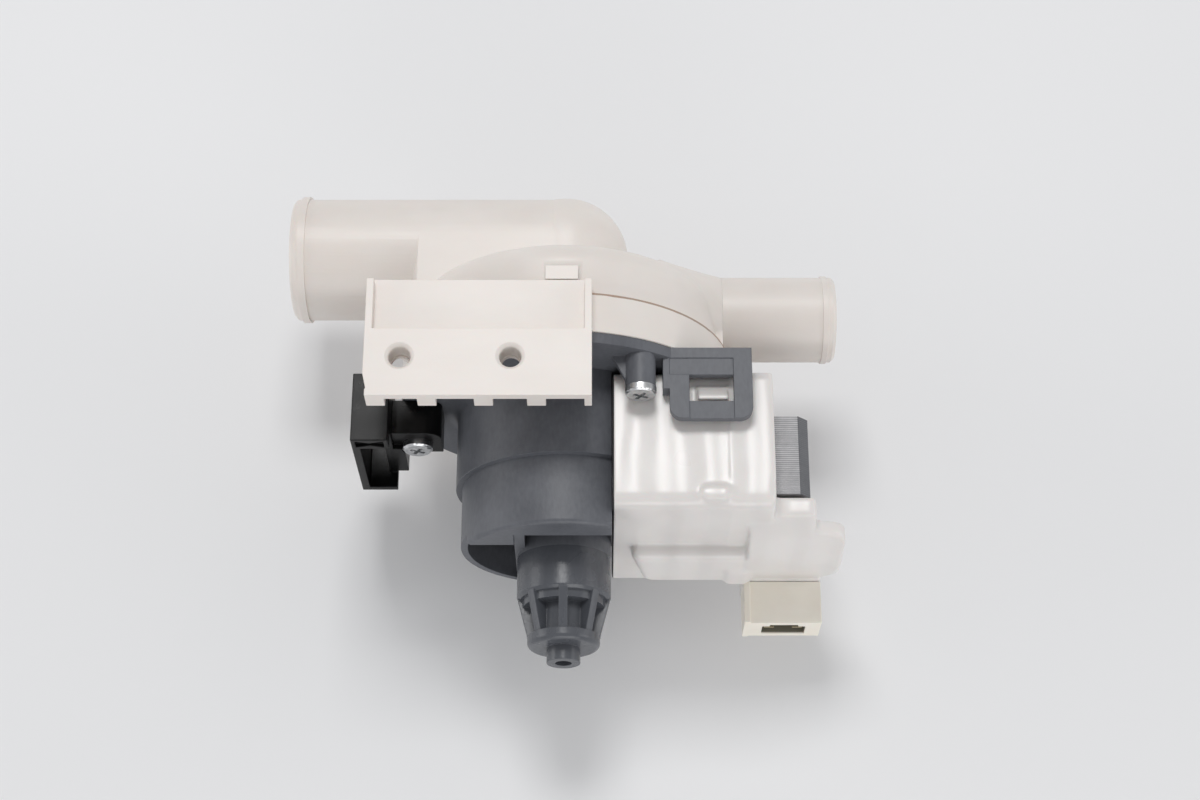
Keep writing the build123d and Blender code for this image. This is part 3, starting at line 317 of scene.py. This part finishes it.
# Stacked sheet steel: one line for each sheet across the stack, with patches and streaks
def laminationSteel():
    look = {"sheet": 0.65 * mm, "light": (0.62, 0.61, 0.62), "deep": (0.24, 0.24, 0.25),
            "slant": 95.35 * mm, "slantDark": (0.10, 0.105, 0.115), "slantDarkShare": 0.85}
    finish = Finish("laminationSteel")
    wave = (finish.along(1) * (2 * math.pi / look["sheet"])).sine()
    patch = finish.noise(240.0, 4.0)
    streak = finish.noise(500.0, 3.0, finish.stretched((0.2, 3.0, 1.0)))
    lines = finish.ramp(wave * 0.5 + 0.5, [(0.0, look["deep"]), (0.45, look["light"])])
    worn = finish.ramp(patch * 0.5 + streak * 0.5, [(0.4, grey(0.0)), (0.62, grey(0.35))])
    tone = finish.mixed(worn, lines, look["deep"])
    # The slanted edge of the yoke is coloured dark
    across, above = finish.along(0) - axisX, finish.along(2) - axisZ
    slanted = (across + above.magnitude()) > look["slant"]
    tone = finish.mixed(slanted * look["slantDarkShare"], tone, look["slantDark"])
    finish.set(Base_Color=tone, Roughness=0.45 + (patch - 0.5) * 0.3, Metallic=0.55)
    finish.set(Normal=finish.bump(wave, 0.5, 0.00012))
    return finish.material


# Bright zinc plate of the screws
def screwZinc():
    look = {"light": (0.74, 0.745, 0.75), "deep": (0.55, 0.56, 0.57)}
    finish = Finish("screwZinc")
    cloud = finish.noise(600.0, 3.0)
    brushed = finish.noise(2200.0, 2.0, finish.stretched((3.0, 1.0, 0.4)))
    tone = finish.ramp(cloud, [(0.35, look["deep"]), (0.65, look["light"])])
    finish.set(Base_Color=tone, Metallic=1.0, Roughness=0.24 + cloud * 0.16)
    finish.set(Normal=finish.bump(brushed, 0.08, 0.0002))
    return finish.material


# Plain finishes of what lies inside
def innerFinish(name, light, deep, rough, metallic=0.0, scale=300.0):
    finish = Finish(name)
    cloud = finish.noise(scale, 4.0)
    finish.set(Base_Color=finish.ramp(cloud, [(0.35, deep), (0.65, light)]), Metallic=metallic)
    finish.set(Roughness=rough + (cloud - 0.5) * 0.15)
    finish.set(Normal=finish.bump(cloud, 0.08, 0.0003))
    return finish.material


# Enamelled wire laid side by side along the leg of the core
def copperWire():
    look = {"turn": 0.42 * mm, "groove": (0.16, 0.045, 0.012), "wire": (0.55, 0.20, 0.07)}
    finish = Finish("copperWire")
    wave = (finish.along(0) * (2 * math.pi / look["turn"])).sine()
    tone = finish.ramp(wave * 0.5 + 0.5, [(0.0, look["groove"]), (0.7, look["wire"])])
    finish.set(Base_Color=tone, Metallic=0.8, Roughness=0.3 + wave * 0.05)
    finish.set(Normal=finish.bump(wave, 0.6, 0.0001))
    return finish.material


finishes = {
    "chamber_plastic": chamberPlastic(),
    "mount_plastic": mountPlastic(),
    "clip_plastic": clipPlastic(),
    "white_resin": housingResin(),
    "connector_plastic": connectorPlastic(),
    "lamination_steel": laminationSteel(),
    "screw_zinc": screwZinc(),
    "shaft_steel": innerFinish("shaftSteel", grey(0.66), grey(0.5), 0.25, 1.0, 900.0),
    "ferrite": innerFinish("ferrite", grey(0.075), grey(0.05), 0.6),
    "rotor_plastic": innerFinish("rotorPlastic", (0.62, 0.61, 0.57), (0.55, 0.54, 0.5), 0.45),
    "seal_rubber": innerFinish("sealRubber", grey(0.025), grey(0.015), 0.6),
    "bearing_metal": innerFinish("bearingBronze", (0.55, 0.38, 0.17), (0.42, 0.28, 0.12),
                                 0.4, 0.9),
    "bobbin_plastic": innerFinish("bobbinPlastic", (0.64, 0.62, 0.57), (0.56, 0.54, 0.49), 0.45),
    "copper_wire": copperWire(),
    "fuse_body": innerFinish("fuseBody", (0.55, 0.5, 0.36), (0.45, 0.4, 0.28), 0.3),
    "pin_brass": innerFinish("pinBrass", (0.72, 0.62, 0.4), (0.6, 0.5, 0.3), 0.28, 1.0),
}

slotOf = {row["node"]: row["material_slot"] for row in frame["record"]["subparts"]}
for name, node in nodes.items():
    node.data.materials.clear()
    node.data.materials.append(finishes[slotOf[name]])
print("finishes made:", len(finishes))

# Lengths in millimetres, angles in degrees
edgeRules = {"merge": 0.002, "flat": 0.3, "segments": 2, "bound": 30.0, "weight": 100}


def takeUp(piece):
    bpy.ops.object.select_all(action="DESELECT")
    piece.select_set(True)
    bpy.context.view_layer.objects.active = piece


# Copy of one of the CAD's mouldings, with the small radii that a mould leaves on its edges
def softened(name, width, smooth):
    piece = bpy.data.objects.new(name + "Moulded", nodes[name].data.copy())
    bpy.context.scene.collection.objects.link(piece)
    takeUp(piece)
    bpy.ops.object.mode_set(mode="EDIT")
    bpy.ops.mesh.select_all(action="SELECT")
    bpy.ops.mesh.remove_doubles(threshold=edgeRules["merge"] * mm)
    bpy.ops.mesh.dissolve_limited(angle_limit=math.radians(edgeRules["flat"]))
    bpy.ops.object.mode_set(mode="OBJECT")
    if width:
        bevel = piece.modifiers.new("edges", "BEVEL")
        bevel.width = width * mm
        bevel.segments = edgeRules["segments"]
        bevel.limit_method = "ANGLE"
        bevel.angle_limit = math.radians(edgeRules["bound"])
        bevel.use_clamp_overlap = False
        bevel.miter_outer = "MITER_ARC"
        bpy.ops.object.modifier_apply(modifier="edges")
    bpy.ops.object.mode_set(mode="EDIT")
    bpy.ops.mesh.select_all(action="SELECT")
    bpy.ops.mesh.remove_doubles(threshold=edgeRules["merge"] * mm)
    bpy.ops.mesh.normals_make_consistent(inside=False)
    bpy.ops.object.mode_set(mode="OBJECT")
    bpy.ops.object.shade_smooth_by_angle(angle=math.radians(smooth))
    flats = piece.modifiers.new("flats", "WEIGHTED_NORMAL")
    flats.keep_sharp = True
    flats.weight = edgeRules["weight"]
    bpy.ops.object.modifier_apply(modifier="flats")
    piece.data.materials.clear()
    piece.data.materials.append(finishes[slotOf[name]])
    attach(piece, body_of(nodes[name])[0])
    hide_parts(name)
    bpy.ops.object.select_all(action="DESELECT")
    return piece


# Width of the rounded edge, and the largest turn that is shaded smooth
edgeLook = {
    "bracket_ring": (0.22, 32.0),
    "volute_housing": (0.0, 24.0),
    "inlet_elbow": (0.0, 14.0),
    "outlet_tube": (0.15, 20.0),
    "motor_mount": (0.18, 32.0),
    "side_clip": (0.3, 32.0),
    "connector_shell": (0.25, 32.0),
    "stator_core": (0.12, 32.0),
    "mount_screws": (0.0, 32.0),
}
for name, look in edgeLook.items():
    softened(name, *look)
print("mouldings softened:", len(edgeLook))

# Lumps added to the housing and regions melted further, in spot's millimetres
resinLook = {
    "voxel": 0.55 * mm,
    "factor": 0.5,
    "smooth": 6,
    "meltSmooth": 22,
    "keep": 0.45,
    "lumps": [
        # The wire duct, whose left end is slanted, and the knob at its right end
        {"low": (20.2, -67.4, -21.6), "high": (58.5, -61.0, 1.6), "slant": 4.6, "round": 3.4},
        {"low": (50.0, -68.6, -22.0), "high": (60.0, -61.0, -7.0), "slant": 0.0, "round": 3.0},
    ],
    "melted": [
        # The terminal block, and the bar on the front edge of the top
        {"low": (57.0, -90.0, -24.5), "high": (95.0, -54.0, 60.0), "share": 1.0},
        {"low": (39.0, -64.0, 18.0), "high": (53.0, -53.5, 60.0), "share": 0.7},
    ],
}


def addLump(piece, lump):
    low, high = spot(*lump["low"]), spot(*lump["high"])
    middle = (low + high) / 2
    bpy.ops.mesh.select_all(action="DESELECT")
    bpy.ops.mesh.primitive_cube_add(size=1.0, location=middle, scale=high - low)
    mesh = bmesh.from_edit_mesh(piece.data)
    added = [corner for corner in mesh.verts if corner.select]
    for corner in added:
        corner.select_set(corner.co.x < middle.x and corner.co.z < middle.z)
    mesh.select_flush(False)
    bmesh.update_edit_mesh(piece.data)
    bpy.ops.transform.translate(value=(lump["slant"] * mm, 0, 0))
    for corner in added:
        corner.select_set(True)
    mesh.select_flush(True)
    bmesh.update_edit_mesh(piece.data)
    bpy.ops.mesh.bevel(offset=lump["round"] * mm, segments=4, affect="EDGES")


def smoothed(piece, turns, group=""):
    relax = piece.modifiers.new("relax", "SMOOTH")
    relax.factor = resinLook["factor"]
    relax.iterations = turns
    relax.vertex_group = group
    bpy.ops.object.modifier_apply(modifier="relax")


# The white housing is dipped in resin, so every edge of its copy is melted round
def dippedHousing():
    piece = softened("coil_housing", 0.0, 180.0)
    takeUp(piece)
    bpy.ops.object.mode_set(mode="EDIT")
    for lump in resinLook["lumps"]:
        addLump(piece, lump)
    bpy.ops.object.mode_set(mode="OBJECT")
    melt = piece.modifiers.new("melt", "REMESH")
    melt.mode = "VOXEL"
    melt.voxel_size = resinLook["voxel"]
    melt.use_smooth_shade = True
    bpy.ops.object.modifier_apply(modifier="melt")
    smoothed(piece, resinLook["smooth"])
    melted = piece.vertex_groups.new(name="melted")
    for region in resinLook["melted"]:
        low, high = spot(*region["low"]), spot(*region["high"])
        corners = [corner.index for corner in piece.data.vertices
                   if all(low[i] < corner.co[i] < high[i] for i in range(3))]
        melted.add(corners, region["share"], "REPLACE")
    smoothed(piece, resinLook["meltSmooth"], "melted")
    thin = piece.modifiers.new("thin", "DECIMATE")
    thin.ratio = resinLook["keep"]
    bpy.ops.object.modifier_apply(modifier="thin")
    bpy.ops.object.shade_smooth()
    bpy.ops.object.select_all(action="DESELECT")
    print("resin housing:", len(piece.data.polygons), "faces")


dippedHousing()


# Pale floor, soft light and the camera
stageLook = {"floor": (0.86, 0.86, 0.865), "paler": (0.87, 0.87, 0.875), "size": 6.0,
             "drop": 0.3 * mm, "sky": (0.97, 0.98, 1.0, 1), "skyStrength": 0.45,
             "middle": (0, 0, 0.04)}
# Place in metres, size in metres and watts of each lamp
lampLook = {
    "lampAbove": ((-0.05, 0.46, 1.07), (0.36, 0.3), 4.3),
    "lampLeft": ((-1.15, 0.05, 0.40), (0.8, 0.6), 2.6),
    "lampRight": ((1.15, -0.1, 0.45), (0.8, 0.6), 2.4),
    "lampFront": ((0.15, -1.25, 0.36), (1.0, 0.6), 4.5),
}
cameraLook = {
    "aim": (11.2, -12.6, 0.0),
    "distance": 700.0 * mm,
    "elevation": 66.0,
    "focalPixels": 2170.0,
    "pictureWidth": 1200.0,
    "sensor": 36.0,
}


def paleFloor():
    bpy.ops.mesh.primitive_plane_add(size=stageLook["size"], location=(0, 0, -stageLook["drop"]))
    floor = bpy.context.object
    floor.name = "paleFloor"
    finish = Finish("floorPaper")
    cloud = finish.noise(3.0, 2.0)
    tone = finish.ramp(cloud, [(0.3, stageLook["floor"]), (0.7, stageLook["paler"])])
    finish.set(Base_Color=tone, Roughness=0.75 + cloud * 0.1)
    floor.data.materials.append(finish.material)
    bpy.ops.object.select_all(action="DESELECT")


def facing(direction):
    return direction.to_track_quat("-Z", "Y")


def softLamp(name, position, size, energy):
    data = bpy.data.lights.new(name, "AREA")
    data.shape = "RECTANGLE"
    data.size, data.size_y = size
    data.energy = energy
    lamp = bpy.data.objects.new(name, data)
    bpy.context.scene.collection.objects.link(lamp)
    lamp.location = position
    lamp.rotation_mode = "QUATERNION"
    lamp.rotation_quaternion = facing(Vector(stageLook["middle"]) - Vector(position))


def roomLight():
    world = bpy.data.worlds.new("room")
    world.use_nodes = True
    sky = world.node_tree.nodes["Background"]
    sky.inputs["Color"].default_value = stageLook["sky"]
    sky.inputs["Strength"].default_value = stageLook["skyStrength"]
    bpy.context.scene.world = world
    for name, look in lampLook.items():
        softLamp(name, *look)


def pictureCamera():
    data = bpy.data.cameras.new("view")
    data.sensor_width = cameraLook["sensor"]
    data.lens = cameraLook["sensor"] * cameraLook["focalPixels"] / cameraLook["pictureWidth"]
    camera = bpy.data.objects.new("view", data)
    bpy.context.scene.collection.objects.link(camera)
    tilt = math.radians(cameraLook["elevation"])
    back = Vector((0, -math.cos(tilt), math.sin(tilt)))
    camera.location = spot(*cameraLook["aim"]) + back * cameraLook["distance"]
    camera.rotation_mode = "QUATERNION"
    camera.rotation_quaternion = facing(-back)
    bpy.context.scene.camera = camera


paleFloor()
roomLight()
pictureCamera()
bpy.context.scene.view_settings.view_transform = "Standard"
print("stage ready")
